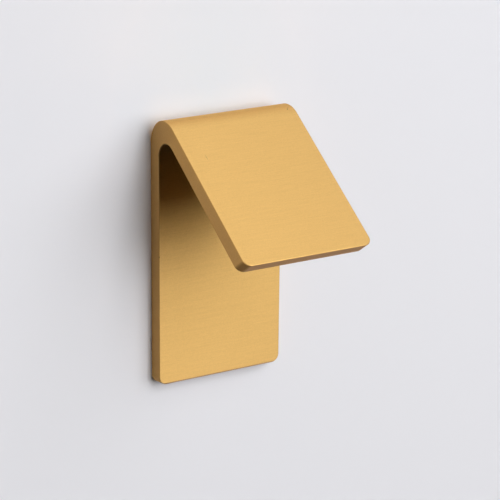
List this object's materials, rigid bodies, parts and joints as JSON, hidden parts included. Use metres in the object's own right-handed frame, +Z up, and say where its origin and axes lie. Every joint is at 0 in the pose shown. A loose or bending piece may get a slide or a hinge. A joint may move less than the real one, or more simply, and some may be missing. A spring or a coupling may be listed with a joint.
{
  "type": "tab pull",
  "caption": "Folded tab pull: a flat back plate, screwed on from behind, turns over at its top into a sloping flap with a beveled end that fingers hook behind.",
  "frame": {"origin": "midway between the fixing holes, on the plate's rear face", "axes": "+Y is the rear face's outward normal, into the door; the flap reaches out towards -Y; +X runs across the pull; +Z is up"},
  "size_m": [0.0254, 0.0342, 0.0513],
  "materials": {
    "satin_brass": "satin, finely brushed across the width"
  },
  "bodies": {
    "root": {"tab_pull": "satin_brass"}
  },
  "joints": []
}
